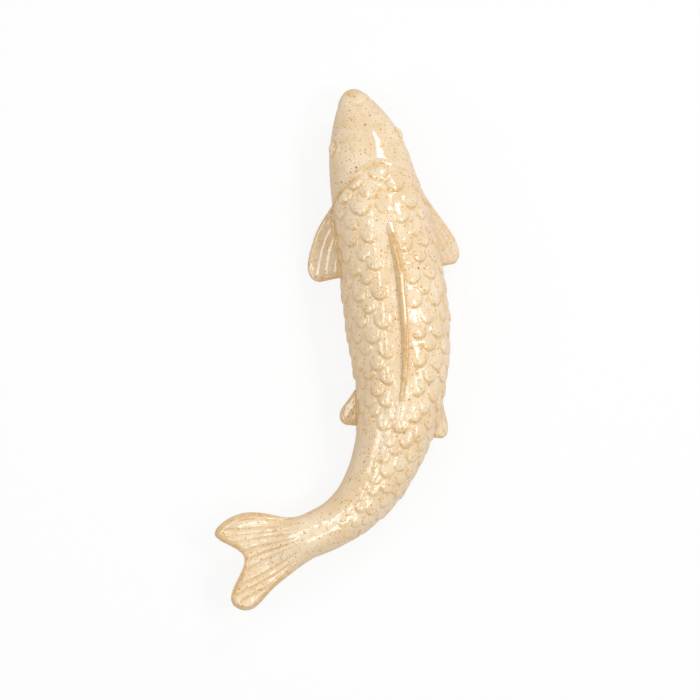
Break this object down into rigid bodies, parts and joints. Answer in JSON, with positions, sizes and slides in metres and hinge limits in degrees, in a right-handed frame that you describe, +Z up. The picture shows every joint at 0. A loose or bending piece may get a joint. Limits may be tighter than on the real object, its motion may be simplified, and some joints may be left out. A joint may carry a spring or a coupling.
{
  "type": "fish figurine",
  "caption": "Hollow glazed stoneware koi with a bent tail, spread fins, domed eyes and a flat foot; a soft stopper closes the vent in its belly.",
  "frame": {"origin": "middle of the flat foot under the belly, on the surface that the fish stands on", "axes": "+Z up, +Y along the fish towards its head, +X to the fish's right"},
  "size_m": [0.115, 0.2395, 0.0501],
  "materials": {
    "glaze": "glossy speckled cream glaze",
    "stopper": "matte soft rubber"
  },
  "bodies": {
    "fish": {"back_shell": "glaze", "belly_shell": "glaze", "dorsal_fin": "glaze", "tail_fin": "glaze", "left_pectoral_fin": "glaze", "right_pectoral_fin": "glaze", "left_pelvic_fin": "glaze", "right_pelvic_fin": "glaze", "left_eye": "glaze", "right_eye": "glaze"},
    "stopper": {"vent_stopper": "stopper"}
  },
  "joints": [
    {"name": "stopper_pull", "type": "slide", "parent": "fish", "child": "stopper", "axis": [0, 0, -1], "range_m": [0, 0.009]}
  ]
}
